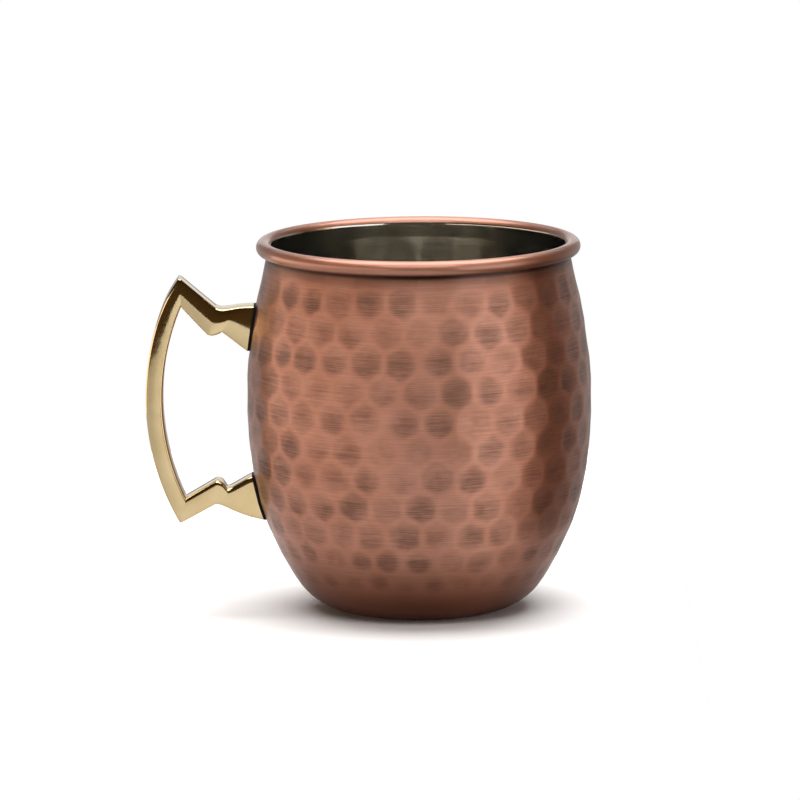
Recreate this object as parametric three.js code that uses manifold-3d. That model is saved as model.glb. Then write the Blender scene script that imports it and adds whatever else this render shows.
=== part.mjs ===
// A hammered copper mug: a barrel-shaped copper cup with a rolled rim, a steel liner inside it
// and a cast brass handle screwed on from within, over soft gaskets.
// Millimetres, +Z up. The origin is the centre of the flat base; the handle points along -X.
import * as THREE from 'three';
import { mergeVertices } from 'three/addons/utils/BufferGeometryUtils.js';
import Module from 'manifold-3d';

// Barrel: the outside of the copper wall.
const BASE_FLAT_RADIUS = 17.7;
const CORNER_RADIUS = 17.2;
const CORNER_SWEEP_DEG = [0, 14, 28, 43, 57];
const BARREL_STATIONS = [
  [34.7, 12],
  [37.9, 18],
  [41.1, 26],
  [43.3, 35],
  [44.55, 45],
  [45, 55],
  [44.65, 65],
  [43.4, 75],
  [41.75, 84],
  [39.6, 93],
];
const SHELL_THICKNESS = 0.6;

// Rim: the sheet turns outwards over its top and down again into an open curl.
const RIM_CENTRE_RADIUS = 40.4;
const RIM_CENTRE_HEIGHT = 95.6;
const RIM_TUBE_RADIUS = 1.95;
const RIM_CURL_DEG = 280;

// Liner.
const LINER_THICKNESS = 0.5;
const LINER_TOP = 94.9;

// Handle: a bar bent to a circular arc, with an angular arm at each end.
const HANDLE_DEPTH = 8;
const HANDLE_EDGE = 0.6;
const BAR_CENTRE = [-8.4, 54.5];
const BAR_OUTER_RADIUS = 62.9;
const BAR_INNER_RADIUS = 58.9;
const BAR_TIP_DEG = { top: 148.6, bottom: 208.7 };
const BAR_INSIDE_DEG = { top: 154.3, bottom: 205.6 };
const UPPER_ARM_TOP = [[-52.9, 79.8], [-49.6, 79.5], [-46, 79.9], [-38, 79.9]];
const UPPER_ARM_UNDER = [[-38, 63.7], [-50.6, 73.8], [-52.2, 73.3], [-53.6, 73.1], [-55, 73.7]];
const LOWER_ARM_TOP = [[-54.2, 33.6], [-53, 33.9], [-51.8, 33.3], [-50.3, 31.6], [-36, 38.6]];
const LOWER_ARM_UNDER = [[-36, 23.2], [-40.6, 24.2], [-44.4, 25.2], [-48.7, 26.9], [-52.4, 28.5], [-53.4, 28.4]];

// Gaskets between the handle's feet and the wall.
const GASKET_THICKNESS = 0.6;
const FIT_GAP = 0.3;

// Screws, put in from inside the cup; heights are where each axis crosses the outside of the wall.
const UPPER_SCREW_HEIGHT = 76;
const LOWER_SCREW_HEIGHT = 31.6;
const SCREW_RADIUS = 1.5;
const SCREW_REACH = 8;
const HEAD_RADIUS = 2.9;
const HEAD_HEIGHT = 1.5;
const SLOT_WIDTH = 0.8;
const SLOT_DEPTH = 0.7;
const WALL_HOLE_RADIUS = 1.9;
const THREAD_HOLE_RADIUS = 1.85;
const WASHER = { inner: 1.85, outer: 3.5, thickness: 0.5 };
const SEAL = { inner: 1.85, outer: 3.2, thickness: 0.7 };
const WALL_SAG = 0.2;

const ROUND_SEGMENTS = 48;
const SCREW_SEGMENTS = 24;
const WALL_STEPS = 16;
const CURL_STEPS = 11;

const COLOURS = {
  copper: { color: 0xb5785f, roughness: 0.35, metalness: 1 },
  steel: { color: 0x8e8c86, roughness: 0.3, metalness: 1 },
  brass: { color: 0xd2b272, roughness: 0.18, metalness: 1 },
  rubber: { color: 0x141210, roughness: 0.7, metalness: 0 },
};

const wasm = await Module();
wasm.setup();

// ---- geometry helpers ----

function toSolid(geometry) {
  const bare = geometry.clone();
  bare.deleteAttribute('normal');
  bare.deleteAttribute('uv');
  const merged = mergeVertices(bare);
  const corners = merged.index.array;
  const triangles = [];
  for (let i = 0; i < corners.length; i += 3) {
    const [a, b, c] = corners.slice(i, i + 3);
    if (a !== b && b !== c && c !== a) triangles.push(a, b, c);
  }
  return new wasm.Manifold(new wasm.Mesh({
    numProp: 3,
    vertProperties: new Float32Array(merged.attributes.position.array),
    triVerts: new Uint32Array(triangles),
  }));
}

function toGeometry(solid) {
  const mesh = solid.getMesh();
  const geometry = new THREE.BufferGeometry();
  geometry.setAttribute('position', new THREE.Float32BufferAttribute(mesh.vertProperties, 3));
  geometry.setIndex(Array.from(mesh.triVerts));
  geometry.computeVertexNormals();
  return geometry;
}

// A closed ring or cup: [radius, height] points turned about the Z axis.
function turned(profile, segments) {
  const points = profile.map(([radius, height]) => new THREE.Vector2(radius, height));
  return new THREE.LatheGeometry(points, segments).rotateX(Math.PI / 2);
}

function ring(inner, outer, low, high) {
  const profile = [[inner, low], [outer, low], [outer, high], [inner, high], [inner, low]];
  return turned(profile, SCREW_SEGMENTS);
}

function rod(radius, low, high) {
  return turned([[0, low], [radius, low], [radius, high], [0, high]], SCREW_SEGMENTS);
}

function onCircle([x, y], radius, degrees) {
  const angle = THREE.MathUtils.degToRad(degrees);
  return [x + radius * Math.cos(angle), y + radius * Math.sin(angle)];
}

function arcPoints(centre, radius, fromDeg, toDeg, steps) {
  return Array.from({ length: steps + 1 }, (_, i) => {
    return onCircle(centre, radius, fromDeg + ((toDeg - fromDeg) * i) / steps);
  });
}

// ---- the wall: one curve from the edge of the flat base up to the neck ----

const cornerPoints = CORNER_SWEEP_DEG.map((sweep) => {
  return onCircle([BASE_FLAT_RADIUS, CORNER_RADIUS], CORNER_RADIUS, sweep - 90);
});
const wallCurve = new THREE.SplineCurve(
  [...cornerPoints, ...BARREL_STATIONS].map(([radius, height]) => new THREE.Vector2(radius, height)),
);

// A point of the wall at parameter t, moved inwards along the wall's normal by inset.
function wallPoint(t, inset) {
  const point = wallCurve.getPoint(t);
  const tangent = wallCurve.getTangent(t);
  return [point.x - tangent.y * inset, point.y + tangent.x * inset];
}

function wallPoints(inset) {
  return Array.from({ length: WALL_STEPS + 1 }, (_, i) => wallPoint(i / WALL_STEPS, inset));
}

function wallParameterAt(height) {
  let low = 0;
  let high = 1;
  while (high - low > 1e-6) {
    const middle = (low + high) / 2;
    if (wallCurve.getPoint(middle).y < height) low = middle;
    else high = middle;
  }
  return (low + high) / 2;
}

// The whole barrel as a solid, with its wall moved inwards by inset (outwards when negative).
function barrelSolid(inset) {
  const wall = wallPoints(inset);
  const top = wall[wall.length - 1][1];
  return toSolid(turned([[0, inset], ...wall, [0, top]], ROUND_SEGMENTS));
}

// ---- sub-parts ----

// Each screw stands on a group whose local +Z runs from the wall into the cup.
function screwFrame(height) {
  const t = wallParameterAt(height);
  const [radius] = wallPoint(t, 0);
  const tangent = wallCurve.getTangent(t);
  const frame = new THREE.Group();
  frame.position.set(-radius, 0, height);
  frame.rotation.y = Math.atan2(tangent.y, tangent.x);
  frame.updateMatrixWorld();
  return frame;
}

function boredThrough(solid, frames, radius, low, high) {
  return frames.reduce((body, frame) => {
    return body.subtract(toSolid(rod(radius, low, high).applyMatrix4(frame.matrixWorld)));
  }, solid);
}

function shellSolid() {
  const centre = [RIM_CENTRE_RADIUS, RIM_CENTRE_HEIGHT];
  const endDeg = 180 - RIM_CURL_DEG;
  const hollow = RIM_TUBE_RADIUS - SHELL_THICKNESS;
  const curlInside = arcPoints(centre, hollow, 180, endDeg, CURL_STEPS);
  const curlOutside = arcPoints(centre, RIM_TUBE_RADIUS, endDeg, 180, CURL_STEPS);
  const outside = wallPoints(0);
  const inside = wallPoints(SHELL_THICKNESS).reverse();
  const profile = [[0, 0], ...outside, ...curlInside, ...curlOutside, ...inside, [0, SHELL_THICKNESS]];
  return toSolid(turned(profile, ROUND_SEGMENTS));
}

function linerSolid() {
  const outerInset = SHELL_THICKNESS + FIT_GAP;
  const innerInset = outerInset + LINER_THICKNESS;
  const throat = RIM_CENTRE_RADIUS - RIM_TUBE_RADIUS - FIT_GAP;
  const profile = [
    [0, outerInset],
    ...wallPoints(outerInset),
    [throat, LINER_TOP],
    [throat - LINER_THICKNESS, LINER_TOP],
    ...wallPoints(innerInset).reverse(),
    [0, innerInset],
  ];
  return toSolid(turned(profile, ROUND_SEGMENTS));
}

// The handle's side view, with both arms running on into the wall.
function handleShape() {
  const outline = [
    ...arcPoints(BAR_CENTRE, BAR_OUTER_RADIUS, BAR_TIP_DEG.bottom, BAR_TIP_DEG.top, 16),
    ...UPPER_ARM_TOP,
    ...UPPER_ARM_UNDER,
    ...arcPoints(BAR_CENTRE, BAR_INNER_RADIUS, BAR_INSIDE_DEG.top, BAR_INSIDE_DEG.bottom, 14),
    ...LOWER_ARM_TOP,
    ...LOWER_ARM_UNDER,
  ];
  return new THREE.Shape(outline.map(([x, z]) => new THREE.Vector2(x, z)));
}

function handleBlank() {
  const geometry = new THREE.ExtrudeGeometry(handleShape(), {
    depth: HANDLE_DEPTH - 2 * HANDLE_EDGE,
    bevelThickness: HANDLE_EDGE,
    bevelSize: HANDLE_EDGE,
    bevelOffset: -HANDLE_EDGE,
    bevelSegments: 2,
  });
  geometry.translate(0, 0, HANDLE_EDGE - HANDLE_DEPTH / 2);
  return toSolid(geometry.rotateX(Math.PI / 2));
}

function handleSolid(blank, frames) {
  const seat = barrelSolid(-(FIT_GAP + GASKET_THICKNESS + FIT_GAP));
  const threadDepth = SCREW_REACH + FIT_GAP;
  return boredThrough(blank.subtract(seat), frames, THREAD_HOLE_RADIUS, -threadDepth, 0);
}

// A skin as thick as the gasket, cut to the outline of one foot.
function gasketSolid(blank, frame) {
  const skin = barrelSolid(-(FIT_GAP + GASKET_THICKNESS)).subtract(barrelSolid(-FIT_GAP));
  const around = new THREE.BoxGeometry(20, 20, 24).translate(...frame.position.toArray());
  const foot = blank.intersect(skin).intersect(toSolid(around));
  return boredThrough(foot, [frame], WALL_HOLE_RADIUS, -4, 0);
}

// Heights above the outside of the wall, along a screw's axis into the cup.
const sealLow = SHELL_THICKNESS + FIT_GAP + LINER_THICKNESS + WALL_SAG + FIT_GAP;
const washerLow = sealLow + SEAL.thickness + FIT_GAP;
const headLow = washerLow + WASHER.thickness + FIT_GAP;

function sealGeometry() {
  return ring(SEAL.inner, SEAL.outer, sealLow, sealLow + SEAL.thickness);
}

function washerGeometry() {
  return ring(WASHER.inner, WASHER.outer, washerLow, washerLow + WASHER.thickness);
}

function screwGeometry() {
  const top = headLow + HEAD_HEIGHT;
  const screw = toSolid(turned([
    [0, -SCREW_REACH],
    [SCREW_RADIUS * 0.7, -SCREW_REACH],
    [SCREW_RADIUS, 0.5 - SCREW_REACH],
    [SCREW_RADIUS, headLow],
    [HEAD_RADIUS, headLow],
    [HEAD_RADIUS, headLow + HEAD_HEIGHT * 0.45],
    [HEAD_RADIUS * 0.84, headLow + HEAD_HEIGHT * 0.85],
    [HEAD_RADIUS * 0.55, top],
    [0, top],
  ], SCREW_SEGMENTS));
  const slot = new THREE.BoxGeometry(3 * HEAD_RADIUS, SLOT_WIDTH, 2 * SLOT_DEPTH).translate(0, 0, top);
  return toGeometry(screw.subtract(toSolid(slot)));
}

// ---- assembly ----

function piece(name, geometry, look) {
  const mesh = new THREE.Mesh(geometry, new THREE.MeshStandardMaterial(look));
  mesh.name = name;
  return mesh;
}

const mug = new THREE.Group();
const upperFrame = screwFrame(UPPER_SCREW_HEIGHT);
const lowerFrame = screwFrame(LOWER_SCREW_HEIGHT);
const frames = [upperFrame, lowerFrame];
const blank = handleBlank();
const shell = boredThrough(shellSolid(), frames, WALL_HOLE_RADIUS, -2, 2);
const liner = boredThrough(linerSolid(), frames, WALL_HOLE_RADIUS, 0, 3);

mug.add(piece('outer_shell', toGeometry(shell), COLOURS.copper));
mug.add(piece('inner_liner', toGeometry(liner), COLOURS.steel));
mug.add(piece('handle', toGeometry(handleSolid(blank, frames)), COLOURS.brass));

for (const [place, frame] of [['upper', upperFrame], ['lower', lowerFrame]]) {
  mug.add(piece(`${place}_gasket`, toGeometry(gasketSolid(blank, frame)), COLOURS.rubber));
  frame.add(piece(`${place}_seal_washer`, sealGeometry(), COLOURS.rubber));
  frame.add(piece(`${place}_washer`, washerGeometry(), COLOURS.steel));
  frame.add(piece(`${place}_screw`, screwGeometry(), COLOURS.steel));
  mug.add(frame);
}

export default mug;
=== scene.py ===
"""A hammered copper mug with a steel liner and a cast brass handle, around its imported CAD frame.

Sizes are in millimetres, and become metres where a mesh is made. +Z is up, the origin is the centre
of the base, and the handle points along -X.
"""

import math

import bmesh
import bpy
import numpy as np
from mathutils import Matrix, Vector


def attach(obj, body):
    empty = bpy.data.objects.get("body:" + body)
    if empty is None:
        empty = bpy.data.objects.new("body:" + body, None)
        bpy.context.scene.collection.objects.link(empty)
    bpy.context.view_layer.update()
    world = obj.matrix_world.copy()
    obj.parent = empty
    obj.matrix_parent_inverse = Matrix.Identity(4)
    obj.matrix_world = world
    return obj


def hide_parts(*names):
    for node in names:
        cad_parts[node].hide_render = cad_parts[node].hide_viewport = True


MM = 0.001
FAR_AWAY = 1e9

# The camera, in degrees and metres, apart from its lens, in millimetres.
CAMERA_ELEVATION = 9.49
CAMERA_ROLL = 0.4
CAMERA_DISTANCE = 2.2
CAMERA_LENS = 378.3
CAMERA_AIM = (-0.00504, 0.0, 0.05487)
CAMERA_CLIP_END = 20

# The barrel's outside: a flat base, points round its corner at these angles, then (radius, height).
BASE_FLAT_RADIUS = 17.7
CORNER_RADIUS = 17.2
CORNER_SWEEPS = (0, 14, 28, 43, 57)
BARREL_STATIONS = (
    (34.7, 12),
    (37.9, 18),
    (41.1, 26),
    (43.3, 35),
    (44.55, 45),
    (45, 55),
    (44.65, 65),
    (43.4, 75),
    (41.75, 84),
    (39.6, 93),
)
WALL_STEPS = 24
BASE_RINGS = (0.5, 0.85)

# How far inside the barrel's outside lie the copper's hidden face, the steel's hidden face and the
# steel's inside.
SHELL_BACK = 0.84
LINER_BACK = 0.9
LINER_FRONT = 1.12

# The rolled rim, and the edge of the steel that follows its inner face and then tucks into it.
RIM_CENTRE = (40.4, 95.6)
RIM_TUBE_RADIUS = 1.95
RIM_SHEET = 0.6
RIM_CURL_DEG = 280
RIM_INNER_STEPS = 7
RIM_OUTER_STEPS = 18
LINER_FOLD_DEG = 195
LINER_EDGE_DEG = 161
LINER_EDGE_GAP = 0.04
LINER_EDGE_STEPS = 10
LINER_TUCK_DEG = 159
LINER_TUCK_DEPTH = 0.25
LINER_TUCK_STEPS = 4

# Mesh density of the two cups.
COLUMNS = 480
SHELL_ROWS = 136
LINER_ROWS = 146
HIDDEN_ROWS = 36
SMOOTH_ANGLE_DEG = 35

# The hammer marks: rows of hollows, each row half a pitch round from the last. The lowest rows are
# shallower and more tightly curved.
SEED = 7
MARKS_PER_ROW = 30
MARK_ROWS = 11
LOW_ROWS = 2
TOP_ROW_HEIGHT = 86.4
ROW_SPACING = 7.65
MARK_RADIUS = 62.0
MARK_RADIUS_SPREAD = (0.9, 1.12)
MARK_RADIUS_LOSS = 0.22
MARK_DEPTH = 0.2
MARK_DEPTH_SPREAD = (0.85, 1.15)
MARK_DEPTH_LOSS = 0.42
MARK_JITTER = 0.42
MARK_JITTER_LIMIT = 0.9
MARK_REACH = 12
MARK_REACH_RADIANS = 0.36
MARK_INSIDE_LIMIT = 4
RIDGE_SHARPNESS = 30.0
RIDGE_RISE = 0.08

# The dark spot in each mark: half its width and height, how far it sits below the middle of the
# mark, and how abruptly it ends.
SPOT_SIZE = (3.4, 2.9)
SPOT_DROP = 1.0
SPOT_EDGE = 1.2

# How far out from the flat base the wall takes to reach its hammered level.
BASE_FADE = 8.0

# The handle's side view, (x, z): the bar lies between two arcs about one centre, and the arms join
# it to the wall. Points run from the upper foot, round the bar, to the lower foot.
HANDLE_DEPTH = 8.0
BAR_CENTRE = (-5.1, 55.9)
BAR_OUTER_RADIUS = 66.4
BAR_INNER_RADIUS = 61.9
BAR_OUTER_DEG = (151.0, 209.6)
BAR_INNER_DEG = (156.8, 205.0)
BAR_STEPS = 48
UPPER_ARM_TOP = (
    (-40, 80.4),
    (-46, 80.3),
    (-49.6, 79.8),
    (-51.4, 79.65),
    (-52.6, 79.95),
    (-54, 80.95),
)
UPPER_ARM_UNDER = (
    (-40, 64.6),
    (-50.7, 73.1),
    (-51.8, 73.3),
    (-52.9, 72.85),
    (-54.5, 72.7),
    (-56, 73.8),
)
LOWER_ARM_TOP = (
    (-54.4, 33.7),
    (-53, 34.4),
    (-51.6, 33.9),
    (-50.7, 32.8),
    (-49.9, 32.3),
    (-45.6, 34.65),
    (-38, 38.9),
)
LOWER_ARM_UNDER = (
    (-54.9, 27.4),
    (-53.4, 28.1),
    (-52.2, 27.95),
    (-50.6, 27.3),
    (-48.6, 26.35),
    (-44.2, 24.7),
    (-38, 23.4),
)
ARM_STEPS = 8
ARM_MARGIN = 0.3
FOOT_STEP = 0.02

# The bar's two outer corners are cut round, and the upper one is pulled in over a share of the bar.
TIP_CUT = 0.7
TIP_STATIONS = 5
TIP_PULL = 0.75
TIP_PULL_SHARE = 0.125

# The handle's section: fillets along both edges, and faces that are crowned at the upper foot and
# nearly flat past the upper arm.
OUTER_FILLET = 0.32
INNER_FILLET = 0.75
FILLET_POINTS = 6
FACE_POINTS = 11
UPPER_CROWN = 0.42
LOWER_CROWN = 0.1
CROWN_FADE = (20, 35)

# The gaskets, which press into the foot and sink through the hammered surface.
GASKET_THICKNESS = 0.7
GASKET_PRESS = 0.03
GASKET_SINK = 0.35

# The screws' heights above the base.
UPPER_SCREW_HEIGHT = 76
LOWER_SCREW_HEIGHT = 31.6

# A screw along its own axis, from the wall's outside at 0 into the cup. The dome's pole is at 90.
FIXING_COLUMNS = 64
SCREW_RADIUS = 1.5
SCREW_REACH = 8.0
SCREW_TIP_SHARE = 0.7
SCREW_TIP_LENGTH = 0.5
HEAD_LOW = 3.5
HEAD_RADIUS = 2.9
HEAD_HEIGHT = 1.5
HEAD_EDGE = 0.1
HEAD_SIDE = 0.55
DOME_RADIUS = 6.2
DOME_DEG = (66.2, 87)
DOME_STEPS = 8
SLOT_WIDTH = 0.8
SLOT_DEPTH = 0.7
SLOT_TURN_DEG = 25

# The rings under each head: (inner radius, outer radius, low, high, radius of the rounded edges).
WASHER = (1.85, 3.5, 2.95, 3.45, 0.12)
SEAL = (1.85, 3.2, 1.15, 2.9, 0.3)
RING_EDGE_STEPS = 4

# Colours. Each pair is mixed by a noise or by a mark's tone.
COPPER_RIDGE = ((0.55, 0.262, 0.179), (0.51, 0.23, 0.151))
# The patina's colours also darken the neck under the rim, as painted shade.
COPPER_PATINA_AND_NECK_SHADE = ((0.31, 0.145, 0.10), (0.24, 0.117, 0.082))
COPPER_SCRATCH = (0.14, 0.07, 0.05)
# The foot is darkened partly as patina and partly as painted shade, for the shadowed table that it
# reflects.
COPPER_FOOT_PATINA_AND_SHADE = (0.15, 0.045, 0.018)
# Painted shade in the crease under the rim.
COPPER_CREVICE_SHADE = (0.06, 0.03, 0.02)
RIM_COPPER = ((0.40, 0.175, 0.112), (0.35, 0.15, 0.095))
# Painted shade on the underside of the rim.
RIM_UNDERSIDE_SHADE = (0.08, 0.036, 0.024)
LINER_STEEL = ((0.58, 0.56, 0.50), (0.66, 0.64, 0.585))
BRASS = ((0.67, 0.525, 0.30), (0.62, 0.475, 0.25))
FASTENER_STEEL = ((0.60, 0.60, 0.59), (0.66, 0.66, 0.65))
GASKET_RUBBER = ((0.002, 0.002, 0.002), (0.005, 0.0045, 0.004))
SEAL_RUBBER = ((0.04, 0.04, 0.04), (0.065, 0.065, 0.063))

# Heights between which a finish changes, or painted shade comes in: up the neck, in the crease
# under the rim, on the rim's underside and, together with patina, at the foot.
FOOT_PATINA_AND_SHADE_BAND = (3, 25)
NECK_SHADE_BAND = (89.0, 93.3)
CREVICE_SHADE_BAND = (92.3, 93.2)
RIM_UNDERSIDE_SHADE_BAND = (93.7, 94.4)
LINER_FLOOR_BAND = (3, 12)

# Noises: (scale along X, Y and Z for each metre, detail). A large Z scale draws them out sideways.
COPPER_BLOTCHES = ((130, 130, 130), 4.0)
COPPER_SCRATCHES = ((90, 90, 5200), 2.0)
COPPER_HAIRLINES = ((300, 300, 14000), 1.0)
RIM_SCRATCHES = ((200, 200, 9000), 2.0)
RIM_CLOUD = ((90, 90, 90), 3.0)
LINER_SCRATCHES = ((120, 120, 6000), 2.0)
LINER_CLOUD = ((80, 80, 80), 3.0)
BRASS_WAVES = ((160, 160, 160), 2.0)
BRASS_GRAIN = ((2600, 2600, 2600), 2.0)
RUBBER_GRAIN = ((3000, 3000, 3000), 3.0)
FASTENER_GRAIN = ((5000, 5000, 5000), 3.0)
NOISE_RANGE = (0.3, 0.7)

# The patina's strength: by the mark's tone, the blotches, the place in the dark spot and the
# brushing, and how far inside a mark it is full.
PATINA_BY_TONE = (0.5, 0.92)
PATINA_BY_BLOTCH = (-0.3, 0.3)
PATINA_BY_SPOT = (0.5, 1.0)
PATINA_BY_SCRATCH = (0.55, 1.3)
SCRATCH_RANGE = (0.34, 0.66)
PATINA_FULL = 1.7

# How the copper's other colours are mixed in.
SCRATCH_SHARE = 0.6
HAIRLINE_SHARE = 0.4
SCRATCH_DARKENING = 0.26
FOOT_DARKENING = 0.95
RIDGE_RANGE = (0.35, 0.65)
TONE_RANGE = (0.2, 0.9)

# Roughness, from one end of a finish's scratches or grain to the other. Patina is rougher than bare
# copper, and the bottom of the steel cup is rougher by LINER_FLOOR_ROUGHNESS.
COPPER_ROUGHNESS = (0.45, 0.5)
COPPER_SCRATCH_ROUGHNESS = (-0.03, 0.05)
RIM_ROUGHNESS = (0.46, 0.52)
LINER_ROUGHNESS = (0.11, 0.16)
LINER_FLOOR_ROUGHNESS = 0.38
BRASS_ROUGHNESS = (0.05, 0.09)
RUBBER_ROUGHNESS = (0.55, 0.75)
FASTENER_ROUGHNESS = (0.34, 0.44)

# Bump: (strength, distance).
COPPER_BUMP = (0.35, 0.03)
RIM_BUMP = (0.1, 0.01)
LINER_BUMP = (0.3, 0.02)
BRASS_BUMP = (0.1, 0.2)
RUBBER_BUMP = (0.3, 0.05)
FASTENER_BUMP = (0.05, 0.01)

# How strongly highlights spread across the brushing, and the quarter turn that sets their way.
COPPER_BRUSHING = 0.8
RIM_BRUSHING = 0.6
LINER_BRUSHING = 0.5
BRUSHING_TURN = 0.25

# The shader's own constant inputs.
COPPER_SHADER = {"Metallic": 1.0, "Coat Weight": 0.28, "Coat Roughness": 0.25}
RIM_SHADER = {"Metallic": 1.0, "Coat Weight": 0.7, "Coat Roughness": 0.14, "Coat IOR": 1.6}
METAL_SHADER = {"Metallic": 1.0}
RUBBER_SHADER = {"Specular IOR Level": 0.15}

# Lights: name, azimuth to the right of the camera, elevation, distance, (width, height),
# brightness, colour.
WHITE = (1.0, 1.0, 1.0)
CREAM = (1.0, 0.85, 0.73)
PEACH = (1.0, 0.74, 0.58)
WARM = (1.0, 0.6, 0.4)
RED = (1.0, 0.3, 0.12)
SOFTBOXES = (
    ("top_softbox", 180, 84, 1.0, (1.4, 0.9), 5.3, WHITE),
    ("key_softbox", 0, 47, 1.0, (0.8, 0.45), 3.2, WHITE),
    ("left_softbox", -74, -10, 1.0, (2.6, 0.7), 2.15, CREAM),
    ("right_softbox", 50, 0, 1.0, (0.82, 0.8), 1.85, WHITE),
    ("right_fade_1", 76, 1, 1.0, (0.16, 0.75), 1.15, PEACH),
    ("right_fade_2", 85, 1, 1.0, (0.16, 0.75), 0.42, PEACH),
    ("right_fade_3", 94, 1, 1.0, (0.16, 0.75), 0.12, WARM),
    ("right_warm_panel", 111, 0, 1.0, (0.42, 0.6), 0.12, RED),
    ("back_softbox", 180, 12, 1.5, (0.8, 0.5), 0.55, WHITE),
    ("rear_softbox", 180, 42, 1.2, (1.2, 0.5), 0.75, WHITE),
)
LIGHTS_AIM = (0, 0, 0.05)

# The table's edges, its colour where the camera sees it, and its colours in the mug's reflections,
# with the bands along X in which one turns into the next.
TABLE_X = (-300, 70)
TABLE_Y = (-460, 240)
TABLE_SEEN = (0.97, 0.97, 0.97)
TABLE_LEFT = (0.4, 0.4, 0.4)
TABLE_LEFT_BAND = (-110, -50)
TABLE_MIDDLE = (0.6, 0.6, 0.6)
TABLE_RIGHT_BAND = (40, 70)
TABLE_RIGHT = (0.27, 0.27, 0.27)
TABLE_ROUGHNESS = 0.8

# The room's colour in front of the mug and behind it, and how far back it turns from one to the
# other.
ROOM_FRONT = (0.075, 0.045, 0.018)
ROOM_BACK = (0.47, 0.46, 0.45)
ROOM_TURN = (0.2, 0.7)

# The room's brightness from straight down at 0 to straight up at 1.
ROOM_LEVELS = ((0.0, 0.35), (0.25, 0.38), (0.42, 0.97), (0.5, 0.92), (0.7, 0.5), (1.0, 0.5))


# ---- profile of the wall ----


def on_circle(centre, radius, degrees):
    angle = math.radians(degrees)
    return (centre[0] + radius * math.cos(angle), centre[1] + radius * math.sin(angle))


def arc(centre, radius, start, end, steps):
    return [on_circle(centre, radius, start + (end - start) * i / steps) for i in range(steps + 1)]


def smooth_curve(points, per_span):
    """A uniform Catmull-Rom curve through the points, with its end points repeated."""
    p = np.array(points, float)
    padded = np.vstack([p[:1], p, p[-1:]])
    t = np.linspace(0, 1, per_span, endpoint=False)[:, None]
    spans = []
    for i in range(len(p) - 1):
        a, b, c, d = padded[i : i + 4]
        tangent_b, tangent_c = (c - a) / 2, (d - b) / 2
        spans.append(
            (2 * t**3 - 3 * t**2 + 1) * b
            + (t**3 - 2 * t**2 + t) * tangent_b
            + (3 * t**2 - 2 * t**3) * c
            + (t**3 - t**2) * tangent_c
        )
    return np.vstack([*spans, p[-1:]])


def lengths_along(points):
    """The distance from a polyline's start to each of its points."""
    steps = np.linalg.norm(np.diff(points, axis=0), axis=1)
    return np.concatenate([[0], np.cumsum(steps)])


def resample(points, count):
    """The same polyline with count evenly spaced points."""
    along = lengths_along(points)
    even = np.linspace(0, along[-1], count)
    return np.stack([np.interp(even, along, points[:, k]) for k in (0, 1)], 1)


def wall_normals(points):
    """Outward unit normals of a profile that runs upwards."""
    tangent = np.gradient(points, axis=0)
    normal = np.stack([tangent[:, 1], -tangent[:, 0]], 1)
    return normal / np.linalg.norm(normal, axis=1, keepdims=True)


def barrel_profile():
    """(radius, height) up the barrel's outside, from the edge of the flat base to the rim."""
    centre = (BASE_FLAT_RADIUS, CORNER_RADIUS)
    corner = [on_circle(centre, CORNER_RADIUS, sweep - 90) for sweep in CORNER_SWEEPS]
    return smooth_curve([*corner, *BARREL_STATIONS], WALL_STEPS)


WALL = barrel_profile()
WALL_LENGTH = lengths_along(WALL)


def wall_radius(height):
    return np.interp(height, WALL[:, 1], WALL[:, 0])


# ---- hammer marks ----


def hammer_marks():
    """Each mark's angle, place along the wall, radius of curvature, depth and tone."""
    rng = np.random.default_rng(SEED)
    top = np.interp(TOP_ROW_HEIGHT, WALL[:, 1], WALL_LENGTH)
    marks = []
    for row in range(MARK_ROWS):
        along = top - row * ROW_SPACING
        radius = float(np.interp(along, WALL_LENGTH, WALL[:, 0]))
        low = max(0.0, row - (MARK_ROWS - 1 - LOW_ROWS)) / LOW_ROWS
        for k in range(MARKS_PER_ROW):
            shift = rng.normal(0, MARK_JITTER, 2).clip(-MARK_JITTER_LIMIT, MARK_JITTER_LIMIT)
            angle = (k + 0.5 * (row % 2)) * 2 * math.pi / MARKS_PER_ROW + shift[0] / radius
            depth = MARK_DEPTH * (1 - MARK_DEPTH_LOSS * low) * rng.uniform(*MARK_DEPTH_SPREAD)
            curve = MARK_RADIUS * (1 - MARK_RADIUS_LOSS * low) * rng.uniform(*MARK_RADIUS_SPREAD)
            marks.append((angle, along + shift[1], curve, depth, rng.uniform(0, 1)))
    return marks


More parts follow.
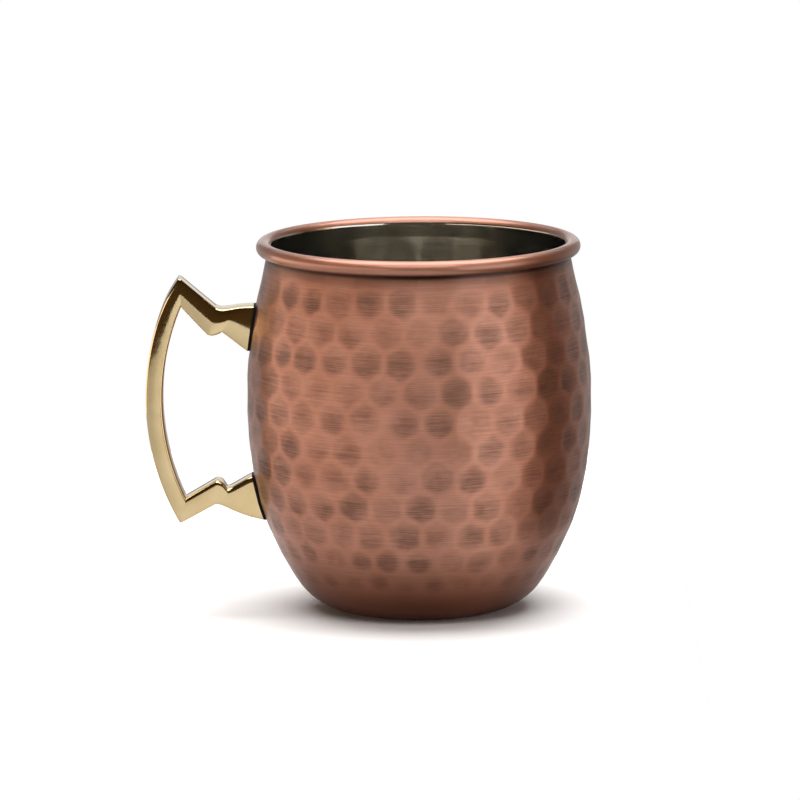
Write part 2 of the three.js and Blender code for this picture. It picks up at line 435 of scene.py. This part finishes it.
def hammer_field(angle, along, radius):
    """The wall's level, and named fields for the copper, at every row and column of the wall.

    Along and radius hold a value for each row, and angle for each column. The level is how far the
    hammer has moved the wall outwards. The fields are how far inside a mark a point is, how dark
    the spot in that mark is there, and the mark's tone.
    """
    nearest = np.full((len(along), len(angle)), FAR_AWAY)
    second = nearest.copy()
    total = np.zeros_like(nearest)
    spot = np.zeros_like(nearest)
    tone = np.zeros_like(nearest)
    for mark_angle, mark_along, curve, depth, mark_tone in hammer_marks():
        rows = np.nonzero(np.abs(along - mark_along) < MARK_REACH)[0]
        turn = (angle - mark_angle + math.pi) % (2 * math.pi) - math.pi
        columns = np.nonzero(np.abs(turn) < MARK_REACH_RADIANS)[0]
        patch = np.ix_(rows, columns)
        across = turn[columns][None, :] * radius[rows][:, None]
        up = (along[rows] - mark_along)[:, None]
        level = (across**2 + up**2) / (2 * curve) - depth
        reach = (across / SPOT_SIZE[0]) ** 2 + ((up + SPOT_DROP) / SPOT_SIZE[1]) ** 2
        dark = np.exp(-(reach**SPOT_EDGE))
        total[patch] += np.exp(-RIDGE_SHARPNESS * level)
        before = nearest[patch]
        closer = level < before
        second[patch] = np.where(closer, before, np.minimum(second[patch], level))
        nearest[patch] = np.where(closer, level, before)
        spot[patch] = np.where(closer, dark, spot[patch])
        tone[patch] = np.where(closer, mark_tone, tone[patch])
    level = RIDGE_RISE - np.log(total + 1) / RIDGE_SHARPNESS
    to_neighbour = (second - nearest) * MARK_RADIUS / ROW_SPACING
    to_plain = -nearest * MARK_RADIUS / math.sqrt(2 * MARK_RADIUS * MARK_DEPTH)
    inside = np.clip(np.minimum(to_neighbour, to_plain), 0, MARK_INSIDE_LIMIT)
    return level, {"inside_mark": inside, "dark_spot": spot, "tone": tone}


# ---- meshes ----


def new_object(name, vertices, faces):
    """A smooth-shaded object with sharp edges, from vertices in millimetres."""
    mesh = bpy.data.meshes.new(name)
    mesh.from_pydata(np.asarray(vertices) * MM, [], faces)
    mesh.shade_smooth()
    mesh.set_sharp_from_angle(angle=math.radians(SMOOTH_ANGLE_DEG))
    made = bpy.data.objects.new(name, mesh)
    bpy.context.scene.collection.objects.link(made)
    return made


def grid_faces(rows, columns, close_rows=False):
    """Quads of a grid whose columns close into a ring, and its rows too if close_rows is set."""
    r = np.arange(rows if close_rows else rows - 1)[:, None]
    c = np.arange(columns)[None, :]
    row, after = r * columns, (r + 1) % rows * columns
    beside = (c + 1) % columns
    return np.stack([row + c, row + beside, after + beside, after + c], -1).reshape(-1, 4).tolist()


def fan_faces(pole, first, columns, flip):
    """Triangles from a pole to the ring of vertices that starts at number first."""
    ring = list(range(first, first + columns))
    pairs = zip(ring, ring[1:] + ring[:1])
    return [(pole, b, a) if flip else (pole, a, b) for a, b in pairs]


def ring_angles(columns):
    return np.arange(columns) * 2 * math.pi / columns


def ring_vertices(radius, height):
    """Rings about the Z axis, from a radius and a height for every row and column."""
    angle = ring_angles(radius.shape[1])
    return np.stack([radius * np.cos(angle), radius * np.sin(angle), height], -1)


def turned_vertices(profile, columns):
    """Rings of vertices for [radius, height] points about the Z axis."""
    radius, height = np.asarray(profile, float).T
    return ring_vertices(np.outer(radius, np.ones(columns)), np.outer(height, np.ones(columns)))


def cup_mesh(name, rings, low, high):
    """A closed cup, whose rings run from the underside up, over the rim and down to the inside.

    The first and last rings close onto points on the axis at the heights low and high.
    """
    rows, columns = rings.shape[:2]
    vertices = np.vstack([rings.reshape(-1, 3), [[0, 0, low], [0, 0, high]]])
    last = (rows - 1) * columns
    faces = grid_faces(rows, columns)
    faces += fan_faces(rows * columns, 0, columns, True)
    faces += fan_faces(rows * columns + 1, last, columns, False)
    return new_object(name, vertices, faces)


def recalculate_normals(obj):
    work = bmesh.new()
    work.from_mesh(obj.data)
    bmesh.ops.recalc_face_normals(work, faces=work.faces)
    work.to_mesh(obj.data)
    work.free()


def finish_piece(piece, node, slot, *materials):
    """Gives a piece its materials and its body, and hides its CAD node."""
    for material in materials:
        piece.data.materials.append(material)
    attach(piece, "root")
    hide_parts(node)


# ---- the two cups ----


def hammered_rings(profile, inset):
    """Rings of a wall profile with the hammer marks pressed in, inset from the outside."""
    along = np.interp(profile[:, 1], WALL[:, 1], WALL_LENGTH)
    level, fields = hammer_field(ring_angles(COLUMNS), along, profile[:, 0])
    level *= np.clip(along / BASE_FADE, 0, 1)[:, None]
    normal = wall_normals(profile)
    radius = profile[:, :1] + normal[:, :1] * (level - inset)
    height = profile[:, 1:] + normal[:, 1:] * (level - inset)
    return ring_vertices(radius, height), fields


def hidden_rings(inset):
    """Rings down the wall without hammer marks, inset from the outside."""
    profile = resample(WALL, HIDDEN_ROWS)
    return turned_vertices((profile - wall_normals(profile) * inset)[::-1], COLUMNS)


def add_field(obj, name, field, rows_before, rows_after):
    """Stores a field of the wall's rows on a cup, with zeros on its other rings and its poles."""
    padded = np.pad(field, ((rows_before, rows_after), (0, 0))).ravel()
    attribute = obj.data.attributes.new(name, "FLOAT", "POINT")
    attribute.data.foreach_set("value", np.append(padded, (0, 0)).astype(np.float32))


def make_shell(material, rim_material):
    """The hammered copper cup with its rolled rim."""
    base = [(BASE_FLAT_RADIUS * share, 0) for share in BASE_RINGS]
    wall, fields = hammered_rings(resample(WALL, SHELL_ROWS), 0.0)
    end = 180 - RIM_CURL_DEG
    rim = arc(RIM_CENTRE, RIM_TUBE_RADIUS - RIM_SHEET, 180, end, RIM_INNER_STEPS)
    rim += arc(RIM_CENTRE, RIM_TUBE_RADIUS, end, 180, RIM_OUTER_STEPS)
    rest = np.concatenate([turned_vertices(rim, COLUMNS), hidden_rings(SHELL_BACK)])
    rings = np.concatenate([turned_vertices(base, COLUMNS), wall, rest])
    shell = cup_mesh("copper_cup", rings, 0, SHELL_BACK)
    for name, field in fields.items():
        add_field(shell, name, field, len(base), len(rest))
    finish_piece(shell, "outer_shell", "copper", material, rim_material)
    first = len(base) + len(wall)
    last = first + len(rim) - 2
    for face in shell.data.polygons[first * COLUMNS : last * COLUMNS]:
        face.material_index = 1


def make_liner(material):
    """The steel cup: the hammer marks come through it, and its edge tucks into the copper rim."""
    inside, _ = hammered_rings(resample(WALL, LINER_ROWS), LINER_FRONT)
    edge = RIM_TUBE_RADIUS + LINER_EDGE_GAP
    tuck = RIM_TUBE_RADIUS - LINER_TUCK_DEPTH
    lip = arc(RIM_CENTRE, edge, LINER_FOLD_DEG, LINER_EDGE_DEG, LINER_EDGE_STEPS)
    lip += arc(RIM_CENTRE, tuck, LINER_TUCK_DEG, LINER_FOLD_DEG, LINER_TUCK_STEPS)
    rings = np.concatenate([inside, turned_vertices(lip, COLUMNS), hidden_rings(LINER_BACK)])
    liner = cup_mesh("steel_liner", rings[::-1], LINER_BACK, LINER_FRONT)
    finish_piece(liner, "inner_liner", "liner_steel", material)


# ---- the handle ----


def rounded_tip(points, tip, cut):
    """Adds stations on both sides of a corner, and rounds it off where it is cut."""
    before, at, after = points[tip - 1 : tip + 2]
    shares = np.linspace(0.1, 0.9, TIP_STATIONS)[:, None]
    near = np.vstack([before + shares * (at - before), [at], at + shares * (after - at)])
    if cut:
        along = np.linalg.norm(near - at, axis=1)
        along[:TIP_STATIONS] *= -1
        start = at + (before - at) * cut / np.linalg.norm(before - at)
        end = at + (after - at) * cut / np.linalg.norm(after - at)
        t = ((along + cut) / (2 * cut))[:, None]
        curve = (1 - t) ** 2 * start + 2 * t * (1 - t) * at + t**2 * end
        near = np.where(np.abs(along)[:, None] < cut, curve, near)
    return np.vstack([points[:tip], near, points[tip + 1 :]])


def handle_edge(upper_arm, bar, lower_arm, cut):
    """One edge of the handle's side view, from the upper foot, round the bar, to the lower foot."""
    upper = smooth_curve([*upper_arm, bar[0]], ARM_STEPS)
    lower = smooth_curve([bar[-1], *lower_arm], ARM_STEPS)
    edge = np.vstack([upper, bar[1:-1], lower])
    upper_tip = len(upper) - 1
    lower_tip = upper_tip + len(bar) - 1
    return rounded_tip(rounded_tip(edge, lower_tip, cut), upper_tip, cut)


def handle_edges():
    """Matching points along the handle's outer and inner edges."""
    bar_outer = np.array(arc(BAR_CENTRE, BAR_OUTER_RADIUS, *BAR_OUTER_DEG, BAR_STEPS))
    pull = np.linspace(1, 1 - 1 / TIP_PULL_SHARE, len(bar_outer)).clip(0, 1)
    bar_outer[:, 0] += TIP_PULL * pull**2
    bar_inner = np.array(arc(BAR_CENTRE, BAR_INNER_RADIUS, *BAR_INNER_DEG, BAR_STEPS))
    outer = handle_edge(UPPER_ARM_TOP, bar_outer, LOWER_ARM_UNDER, TIP_CUT)
    inner = handle_edge(UPPER_ARM_UNDER, bar_inner, LOWER_ARM_TOP, 0.0)
    return outer, inner


def handle_section(width, crown):
    """(share of the way across, depth) round one section: crowned faces and rounded edges."""
    turn = np.linspace(0, math.pi / 2, FILLET_POINTS)
    edge = 1 - np.cos(turn)
    drop = 1 - np.sin(turn)
    middle = np.linspace(OUTER_FILLET, width - INNER_FILLET, FACE_POINTS)[1:-1]
    distance = np.concatenate([OUTER_FILLET * edge, middle, (width - INNER_FILLET * edge)[::-1]])
    flat = np.zeros(len(middle))
    fillets = np.concatenate([OUTER_FILLET * drop, flat, (INNER_FILLET * drop)[::-1]])
    depth = HANDLE_DEPTH / 2 - fillets - crown * (2 * distance / width - 1) ** 2
    share = distance / width
    front = np.stack([share, -depth], 1)
    back = np.stack([share, depth], 1)[::-1]
    return np.vstack([front, back])


def section_points(outer, inner, crown):
    """The loop of points round the handle between one station on each edge."""
    share, depth = handle_section(np.linalg.norm(inner - outer), crown).T
    across = outer + share[:, None] * (inner - outer)
    return np.stack([across[:, 0], depth, across[:, 1]], 1)


def outside_wall(points, margin):
    """Whether each (x, z) point on the handle's side lies further than margin outside the wall."""
    return -points[..., 0] > wall_radius(points[..., 1]) + margin


def foot_edge(station, inboard):
    """Where the line from an arm's inboard station through its last one meets the gasket."""
    step = (station - inboard) / np.linalg.norm(station - inboard)
    distance = 0.0
    while outside_wall(station + step * distance, GASKET_THICKNESS):
        distance += FOOT_STEP
    return station + step * distance


def seat_on_wall(points, stand_off):
    """Moves points along X to lie stand_off outside the wall."""
    points = points.copy()
    reach = wall_radius(points[:, 2]) + stand_off
    points[:, 0] = -np.sqrt(reach**2 - points[:, 1] ** 2)
    return points


def handle_sections():
    """Every section of the handle, from the seat of the upper foot to the seat of the lower."""
    outer, inner = handle_edges()
    margin = GASKET_THICKNESS + ARM_MARGIN
    clear = outside_wall(outer, margin) & outside_wall(inner, margin)
    outer, inner = outer[clear], inner[clear]
    crowns = np.interp(lengths_along(outer), CROWN_FADE, (UPPER_CROWN, LOWER_CROWN))
    seats = []
    for last, inboard in ((0, 1), (-1, -2)):
        edges = [foot_edge(edge[last], edge[inboard]) for edge in (outer, inner)]
        seats.append(seat_on_wall(section_points(*edges, crowns[last]), GASKET_THICKNESS))
    middle = [section_points(*station) for station in zip(outer, inner, crowns)]
    return np.array([seats[0], *middle, seats[1]])


def capped_tube(name, sections):
    """A closed body through matching loops of points, capped from front to back."""
    rows, columns = sections.shape[:2]
    faces = grid_faces(rows, columns)
    for first, flip in ((0, True), ((rows - 1) * columns, False)):
        for k in range(columns // 2 - 1):
            opposite = first + columns - 1 - k
            quad = (first + k, first + k + 1, opposite - 1, opposite)
            faces.append(quad[::-1] if flip else quad)
    tube = new_object(name, sections.reshape(-1, 3), faces)
    recalculate_normals(tube)
    return tube


def make_handle(sections, material):
    handle = capped_tube("brass_handle", sections)
    finish_piece(handle, "handle", "cast_brass", material)


def make_gasket(place, seat, material):
    """The black gasket between one foot's seat and the wall."""
    outer = seat_on_wall(seat, GASKET_THICKNESS + GASKET_PRESS)
    inner = seat_on_wall(seat, -GASKET_SINK)
    gasket = capped_tube(f"black_{place}_gasket", np.array([outer, inner]))
    finish_piece(gasket, f"{place}_gasket", "gasket_rubber", material)


# ---- screws and washers ----


def screw_matrix(height):
    """Stands a piece made along +Z on the wall, pointing into the cup."""
    normals = wall_normals(WALL)
    outward, up = (float(np.interp(height, WALL[:, 1], normals[:, k])) for k in (0, 1))
    inward = Vector((outward, 0, -up)).normalized()
    turn = inward.to_track_quat("Z", "Y").to_matrix().to_4x4()
    return Matrix.Translation(Vector((-wall_radius(height), 0, height)) * MM) @ turn


def rounded_ring(inner, outer, low, high, edge):
    """The profile of a flat ring with rounded edges."""
    corners = (
        ((outer - edge, low + edge), -90),
        ((outer - edge, high - edge), 0),
        ((inner + edge, high - edge), 90),
        ((inner + edge, low + edge), 180),
    )
    arcs = [arc(centre, edge, start, start + 90, RING_EDGE_STEPS) for centre, start in corners]
    return [point for corner in arcs for point in corner]


def ring_mesh(name, size, matrix):
    """A washer or a seal, turned about the screw's axis."""
    profile = rounded_ring(*size)
    vertices = turned_vertices(profile, FIXING_COLUMNS).reshape(-1, 3)
    ring = new_object(name, vertices, grid_faces(len(profile), FIXING_COLUMNS, True))
    recalculate_normals(ring)
    ring.data.transform(matrix)
    return ring


def screw_mesh(name, matrix):
    """A screw with a domed head, before its slot is cut."""
    top = HEAD_LOW + HEAD_HEIGHT
    shank = [
        (SCREW_RADIUS * SCREW_TIP_SHARE, -SCREW_REACH),
        (SCREW_RADIUS, SCREW_TIP_LENGTH - SCREW_REACH),
        (SCREW_RADIUS, HEAD_LOW),
    ]
    side = [
        (HEAD_RADIUS - HEAD_EDGE, HEAD_LOW),
        (HEAD_RADIUS, HEAD_LOW + HEAD_EDGE),
        (HEAD_RADIUS, HEAD_LOW + HEAD_SIDE),
    ]
    dome = arc((0, top - DOME_RADIUS), DOME_RADIUS, *DOME_DEG, DOME_STEPS)
    rings = turned_vertices([*shank, *side, *dome], FIXING_COLUMNS)
    screw = cup_mesh(name, rings, -SCREW_REACH, top)
    screw.data.transform(matrix)
    return screw


def slot_cutter(matrix):
    """A block as wide as the slot, across the top of the screw's head."""
    size = Vector((3 * HEAD_RADIUS, SLOT_WIDTH, 2 * SLOT_DEPTH)) * MM
    top = Vector((0, 0, HEAD_LOW + HEAD_HEIGHT)) * MM
    work = bmesh.new()
    bmesh.ops.create_cube(work, size=1)
    bmesh.ops.scale(work, vec=size, verts=work.verts)
    bmesh.ops.translate(work, vec=top, verts=work.verts)
    work.transform(matrix @ Matrix.Rotation(math.radians(SLOT_TURN_DEG), 4, "Z"))
    mesh = bpy.data.meshes.new("slot_cutter")
    work.to_mesh(mesh)
    work.free()
    cutter = bpy.data.objects.new("slot_cutter", mesh)
    bpy.context.scene.collection.objects.link(cutter)
    return cutter


def cut_slot(screw, matrix):
    """Cuts a straight driver slot across the head."""
    cutter = slot_cutter(matrix)
    cut = screw.modifiers.new("slot", "BOOLEAN")
    cut.object = cutter
    cut.operation = "DIFFERENCE"
    bpy.context.view_layer.objects.active = screw
    bpy.ops.object.modifier_apply(modifier=cut.name)
    bpy.data.objects.remove(cutter)


def make_fixing(place, height, steel, rubber):
    """The screw, washer and seal that hold one foot of the handle."""
    matrix = screw_matrix(height)
    screw = screw_mesh(f"{place}_screw_head", matrix)
    cut_slot(screw, matrix)
    finish_piece(screw, f"{place}_screw", "fastener_steel", steel)
    washer = ring_mesh(f"{place}_steel_washer", WASHER, matrix)
    finish_piece(washer, f"{place}_washer", "fastener_steel", steel)
    seal = ring_mesh(f"{place}_seal", SEAL, matrix)
    finish_piece(seal, f"{place}_seal_washer", "seal_rubber", rubber)


# ---- materials ----


class Nodes:
    """A small helper for building the node tree of a material or of the world."""

    def __init__(self, owner):
        owner.use_nodes = True
        self.owner = owner
        self.tree = owner.node_tree
        self.shader = self.tree.nodes.get("Principled BSDF")

    def add(self, kind, **settings):
        node = self.tree.nodes.new(kind)
        for key, value in settings.items():
            setattr(node, key, value)
        return node

    def link(self, source, target):
        self.tree.links.new(source, target)

    def feed(self, socket, value):
        """Links an output to a socket, or sets the socket to a number or a colour."""
        if isinstance(value, bpy.types.NodeSocket):
            self.link(value, socket)
        elif isinstance(value, tuple):
            socket.default_value = (*value, 1)
        else:
            socket.default_value = value

    def axis(self, name, space="Object"):
        """One of the coordinates. The object's are in metres, with Z the height above the base."""
        split = self.add("ShaderNodeSeparateXYZ")
        self.link(self.add("ShaderNodeTexCoord").outputs[space], split.inputs[0])
        return split.outputs[name]

    def attribute(self, name):
        return self.add("ShaderNodeAttribute", attribute_name=name).outputs["Fac"]

    def noise(self, scale, detail):
        """Noise in object coordinates, drawn out along the axes with a small scale."""
        mapping = self.add("ShaderNodeMapping")
        mapping.inputs["Scale"].default_value = scale
        self.link(self.add("ShaderNodeTexCoord").outputs["Object"], mapping.inputs["Vector"])
        node = self.add("ShaderNodeTexNoise")
        node.inputs["Scale"].default_value = 1.0
        node.inputs["Detail"].default_value = detail
        self.link(mapping.outputs["Vector"], node.inputs["Vector"])
        return node.outputs["Fac"]

    def math(self, operation, *values, clamp=False):
        node = self.add("ShaderNodeMath", operation=operation, use_clamp=clamp)
        for socket, value in zip(node.inputs, values):
            self.feed(socket, value)
        return node.outputs["Value"]

    def ramp(self, value, low, high, start=0.0, end=1.0, interpolation="SMOOTHSTEP"):
        """Turns smoothly from start to end while the value goes from low to high."""
        node = self.add("ShaderNodeMapRange", interpolation_type=interpolation)
        self.link(value, node.inputs["Value"])
        limits = {"From Min": low, "From Max": high, "To Min": start, "To Max": end}
        for key, number in limits.items():
            node.inputs[key].default_value = number
        return node.outputs["Result"]

    def spread(self, noise, start=0.0, end=1.0):
        """Noise keeps near its middle, so its usual range is stretched from start to end."""
        return self.ramp(noise, *NOISE_RANGE, start, end)

    def band(self, axis, limits, start=0.0, end=1.0):
        """Turns from start to end between two places in millimetres along an axis."""
        return self.ramp(self.axis(axis), limits[0] * MM, limits[1] * MM, start, end)

    def mix(self, factor, a, b):
        node = self.add("ShaderNodeMix", data_type="RGBA")
        for index, value in ((0, factor), (6, a), (7, b)):
            self.feed(node.inputs[index], value)
        return node.outputs[2]

    def finish(self, colour, roughness, constants):
        """Feeds the shader, and returns the finished material."""
        for key, value in {"Base Color": colour, "Roughness": roughness, **constants}.items():
            self.feed(self.shader.inputs[key], value)
        return self.owner

    def bump(self, height, strength, distance):
        """Bump from a height, with its distance in millimetres."""
        node = self.add("ShaderNodeBump")
        node.inputs["Strength"].default_value = strength
        node.inputs["Distance"].default_value = distance * MM
        self.link(height, node.inputs["Height"])
        self.link(node.outputs["Normal"], self.shader.inputs["Normal"])

    def brushed_round(self, amount):
        """Fine scratches run round the Z axis, so that highlights spread along it."""
        tangent = self.add("ShaderNodeTangent", direction_type="RADIAL", axis="Z")
        self.link(tangent.outputs["Tangent"], self.shader.inputs["Tangent"])
        self.shader.inputs["Anisotropic"].default_value = amount
        self.shader.inputs["Anisotropic Rotation"].default_value = BRUSHING_TURN


def new_material(name):
    return Nodes(bpy.data.materials.new(name))


def copper_patina_and_neck_shade(n, tone, blotches, lines):
    """How dark the patina is in the hammer marks, streaked by the brushing, with painted shade up
    the neck under the rim.
    """
    by_tone = n.ramp(tone, 0, 1, *PATINA_BY_TONE)
    strength = n.math("ADD", by_tone, n.spread(blotches, *PATINA_BY_BLOTCH))
    by_spot = n.ramp(n.attribute("dark_spot"), 0, 1, *PATINA_BY_SPOT)
    streaks = n.ramp(lines, *SCRATCH_RANGE, *PATINA_BY_SCRATCH)
    streaked = n.math("MULTIPLY", n.math("MULTIPLY", by_spot, strength), streaks)
    inside = n.ramp(n.attribute("inside_mark"), 0, PATINA_FULL)
    marks = n.math("MULTIPLY", streaked, inside, clamp=True)
    # Painted shade up the neck, under the rim.
    return n.math("MAXIMUM", marks, n.band("Z", NECK_SHADE_BAND))


def copper_material():
    """Satin copper, brushed round, with dark patina in the hammer marks, painted shade under the
    rim, and patina and painted shade at the foot.
    """
    n = new_material("hammered_copper")
    tone = n.attribute("tone")
    blotches = n.noise(*COPPER_BLOTCHES)
    scratches = n.math("MULTIPLY", n.noise(*COPPER_SCRATCHES), SCRATCH_SHARE)
    hairlines = n.math("MULTIPLY", n.noise(*COPPER_HAIRLINES), HAIRLINE_SHARE)
    lines = n.math("ADD", scratches, hairlines)
    patina_and_neck_shade = copper_patina_and_neck_shade(n, tone, blotches, lines)
    ridge = n.mix(n.ramp(blotches, *RIDGE_RANGE), *COPPER_RIDGE)
    dark = n.mix(n.ramp(tone, *TONE_RANGE), *COPPER_PATINA_AND_NECK_SHADE)
    colour = n.mix(patina_and_neck_shade, ridge, dark)
    colour = n.mix(n.spread(lines, 0, SCRATCH_DARKENING), colour, COPPER_SCRATCH)
    # Darker towards the foot: partly patina, partly painted shade for the shadowed table that it
    # reflects.
    colour = n.mix(n.band("Z", FOOT_PATINA_AND_SHADE_BAND, FOOT_DARKENING, 0), colour, COPPER_FOOT_PATINA_AND_SHADE)
    # Painted shade in the crease under the rim.
    colour = n.mix(n.band("Z", CREVICE_SHADE_BAND), colour, COPPER_CREVICE_SHADE)
    satin = n.ramp(patina_and_neck_shade, 0, 1, *COPPER_ROUGHNESS)
    roughness = n.math("ADD", satin, n.spread(lines, *COPPER_SCRATCH_ROUGHNESS))
    n.bump(lines, *COPPER_BUMP)
    n.brushed_round(COPPER_BRUSHING)
    return n.finish(colour, roughness, COPPER_SHADER)


def rim_material():
    """The rolled rim: browner copper, wiped smooth, under a glossier lacquer, with painted shade on
    its underside.
    """
    n = new_material("rim_copper")
    lines = n.noise(*RIM_SCRATCHES)
    colour = n.mix(n.spread(n.noise(*RIM_CLOUD)), *RIM_COPPER)
    # Painted shade on the rim's underside.
    colour = n.mix(n.band("Z", RIM_UNDERSIDE_SHADE_BAND), RIM_UNDERSIDE_SHADE, colour)
    n.bump(lines, *RIM_BUMP)
    n.brushed_round(RIM_BRUSHING)
    return n.finish(colour, n.spread(lines, *RIM_ROUGHNESS), RIM_SHADER)


def liner_material():
    """Drawn stainless steel, polished round, and duller at the bottom of the cup."""
    n = new_material("liner_steel")
    lines = n.noise(*LINER_SCRATCHES)
    colour = n.mix(n.spread(n.noise(*LINER_CLOUD)), *LINER_STEEL)
    dull = n.band("Z", LINER_FLOOR_BAND, LINER_FLOOR_ROUGHNESS, 0)
    roughness = n.math("ADD", n.spread(lines, *LINER_ROUGHNESS), dull)
    n.bump(lines, *LINER_BUMP)
    n.brushed_round(LINER_BRUSHING)
    return n.finish(colour, roughness, METAL_SHADER)


def brass_material():
    """Polished cast brass with faint waves and a fine grain."""
    n = new_material("polished_brass")
    waves = n.noise(*BRASS_WAVES)
    colour = n.mix(n.spread(waves), *BRASS)
    n.bump(waves, *BRASS_BUMP)
    return n.finish(colour, n.spread(n.noise(*BRASS_GRAIN), *BRASS_ROUGHNESS), METAL_SHADER)


def grained_material(name, noise, colours, roughness, bump, constants):
    """A plain finish with one fine grain in its colour, its roughness and its bump."""
    n = new_material(name)
    grain = n.noise(*noise)
    n.bump(grain, *bump)
    return n.finish(n.mix(n.spread(grain), *colours), n.spread(grain, *roughness), constants)


def rubber_material(name, colours):
    """Matt rubber with a fine moulded grain."""
    return grained_material(
        name, RUBBER_GRAIN, colours, RUBBER_ROUGHNESS, RUBBER_BUMP, RUBBER_SHADER
    )


def fastener_material():
    """Satin stainless steel."""
    return grained_material(
        "fastener_steel",
        FASTENER_GRAIN,
        FASTENER_STEEL,
        FASTENER_ROUGHNESS,
        FASTENER_BUMP,
        METAL_SHADER,
    )


# ---- studio ----


def make_camera():
    elevation = math.radians(CAMERA_ELEVATION)
    back = Vector((0, -math.cos(elevation), math.sin(elevation)))
    data = bpy.data.cameras.new("camera")
    data.lens = CAMERA_LENS
    data.clip_end = CAMERA_CLIP_END
    camera = bpy.data.objects.new("camera", data)
    camera.location = Vector(CAMERA_AIM) + back * CAMERA_DISTANCE
    turn = (-back).to_track_quat("-Z", "Y").to_matrix().to_4x4()
    roll = Matrix.Rotation(math.radians(-CAMERA_ROLL), 4, "Z")
    camera.rotation_euler = (turn @ roll).to_euler()
    bpy.context.scene.collection.objects.link(camera)
    bpy.context.scene.camera = camera


def make_floor():
    """A white table top that ends not far from the mug, and is darker in its reflections."""
    (left, right), (front, back) = TABLE_X, TABLE_Y
    corners = [(left, front, 0), (right, front, 0), (right, back, 0), (left, back, 0)]
    floor = new_object("table_top", corners, [(0, 1, 2, 3)])
    n = new_material("white_table")
    reflected = n.mix(n.band("X", TABLE_LEFT_BAND), TABLE_LEFT, TABLE_MIDDLE)
    reflected = n.mix(n.band("X", TABLE_RIGHT_BAND), reflected, TABLE_RIGHT)
    seen = n.add("ShaderNodeLightPath").outputs["Is Camera Ray"]
    colour = n.mix(seen, reflected, TABLE_SEEN)
    floor.data.materials.append(n.finish(colour, TABLE_ROUGHNESS, {}))


def make_softbox(name, azimuth, elevation, distance, size, brightness, colour):
    """A rectangular light that faces the mug, azimuth degrees round to the right of the camera."""
    a, e = math.radians(azimuth), math.radians(elevation)
    toward = Vector((math.sin(a) * math.cos(e), -math.cos(a) * math.cos(e), math.sin(e)))
    data = bpy.data.lights.new(name, "AREA")
    data.shape = "RECTANGLE"
    data.size, data.size_y = size
    data.energy = brightness * math.pi * size[0] * size[1]
    data.color = colour
    light = bpy.data.objects.new(name, data)
    light.location = Vector(LIGHTS_AIM) + toward * distance
    light.rotation_euler = toward.to_track_quat("Z", "Y").to_euler()
    light.visible_camera = False
    bpy.context.scene.collection.objects.link(light)


def room_level(n):
    """The room's brightness by height, from a curve through ROOM_LEVELS."""
    node = n.add("ShaderNodeFloatCurve")
    curve = node.mapping.curves[0]
    curve.points[0].location = ROOM_LEVELS[0]
    curve.points[1].location = ROOM_LEVELS[-1]
    for place, level in ROOM_LEVELS[1:-1]:
        curve.points.new(place, level)
    node.mapping.update()
    upward = n.math("MULTIPLY_ADD", n.axis("Z", "Generated"), 0.5, 0.5)
    n.link(upward, node.inputs["Value"])
    return node.outputs["Value"]


def make_world():
    """A dim room, lighter behind the mug, that the camera sees as plain white."""
    world = bpy.data.worlds.new("studio")
    bpy.context.scene.world = world
    n = Nodes(world)
    room = n.tree.nodes["Background"]
    behind = n.ramp(n.axis("Y", "Generated"), *ROOM_TURN, interpolation="LINEAR")
    n.link(n.mix(behind, ROOM_FRONT, ROOM_BACK), room.inputs["Color"])
    n.link(room_level(n), room.inputs["Strength"])
    backdrop = n.add("ShaderNodeBackground")
    n.feed(backdrop.inputs["Color"], WHITE)
    seen = n.add("ShaderNodeLightPath").outputs["Is Camera Ray"]
    either = n.add("ShaderNodeMixShader")
    for socket, source in zip(either.inputs, (seen, room.outputs[0], backdrop.outputs[0])):
        n.link(source, socket)
    n.link(either.outputs[0], n.tree.nodes["World Output"].inputs["Surface"])


def make_studio():
    make_camera()
    make_floor()
    make_world()
    for softbox in SOFTBOXES:
        make_softbox(*softbox)
    bpy.context.scene.view_settings.view_transform = "Standard"


# ---- the mug ----


def make_mug():
    make_shell(copper_material(), rim_material())
    make_liner(liner_material())
    sections = handle_sections()
    make_handle(sections, brass_material())
    gasket_rubber = rubber_material("gasket_rubber", GASKET_RUBBER)
    make_gasket("upper", sections[0], gasket_rubber)
    make_gasket("lower", sections[-1], gasket_rubber)
    steel = fastener_material()
    seal_rubber = rubber_material("seal_rubber", SEAL_RUBBER)
    make_fixing("upper", UPPER_SCREW_HEIGHT, steel, seal_rubber)
    make_fixing("lower", LOWER_SCREW_HEIGHT, steel, seal_rubber)


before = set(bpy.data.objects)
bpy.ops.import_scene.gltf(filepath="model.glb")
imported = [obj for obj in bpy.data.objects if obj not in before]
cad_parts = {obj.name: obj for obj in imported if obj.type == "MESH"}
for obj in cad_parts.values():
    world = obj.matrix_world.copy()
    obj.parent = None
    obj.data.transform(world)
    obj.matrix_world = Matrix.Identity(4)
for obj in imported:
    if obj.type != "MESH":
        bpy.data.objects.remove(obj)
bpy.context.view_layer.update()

make_studio()
make_mug()
